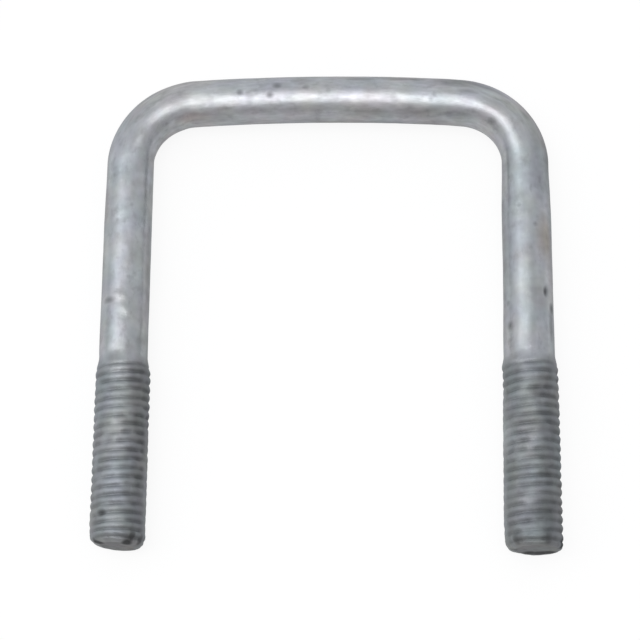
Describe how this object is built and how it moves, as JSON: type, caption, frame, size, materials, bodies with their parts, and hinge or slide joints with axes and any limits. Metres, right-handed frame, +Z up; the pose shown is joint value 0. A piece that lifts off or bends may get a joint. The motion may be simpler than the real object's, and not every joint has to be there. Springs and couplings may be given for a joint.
{
  "type": "square-bend u-bolt",
  "caption": "Square-bend U-bolt of hot-dip galvanised round steel bar: a nearly flat crown, round bends and parallel legs with rolled right-hand threads and chamfered ends.",
  "frame": {"origin": "centre of the footprint, on the surface that the bolt lies on", "axes": "+X from the left leg to the right leg, +Y from the leg ends to the crown, +Z up, normal to the plane of the U"},
  "size_m": [0.0818, 0.0892, 0.0097],
  "materials": {
    "galvanised_zinc": "hot-dip galvanised: cloudy, slightly bluish grey zinc, satin on the shank and duller on the threads"
  },
  "bodies": {
    "root": {"u_bolt": "galvanised_zinc"}
  },
  "joints": []
}
